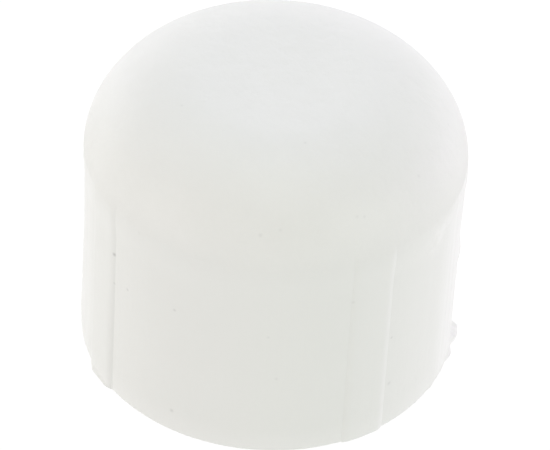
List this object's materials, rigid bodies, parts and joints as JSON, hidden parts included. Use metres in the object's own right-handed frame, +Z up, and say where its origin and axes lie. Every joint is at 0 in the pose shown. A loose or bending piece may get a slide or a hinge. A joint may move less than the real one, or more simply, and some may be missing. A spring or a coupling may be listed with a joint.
{
  "type": "pipe cap",
  "caption": "Screw-on domed pipe cap for a parallel-threaded pipe end, with raised grip ribs down its skirt and a flat sealing washer inside.",
  "frame": {"origin": "centre of the rim, on the plane that the open end rests on", "axes": "+Z up the axis from the open mouth to the domed end, +X and +Y each through the middle of a rib"},
  "size_m": [0.0328, 0.0328, 0.0276],
  "materials": {
    "cap_plastic": "white moulded plastic with a fine eggshell grain",
    "washer_rubber": "black moulded rubber, matt"
  },
  "bodies": {
    "cap": {"cap_body": "cap_plastic"},
    "washer": {"sealing_washer": "washer_rubber"}
  },
  "joints": [
    {"name": "washer_turn", "type": "hinge", "parent": "cap", "child": "washer", "pos_m": [0, 0, 0.0163], "axis": [0, 0, 1], "continuous": true}
  ]
}
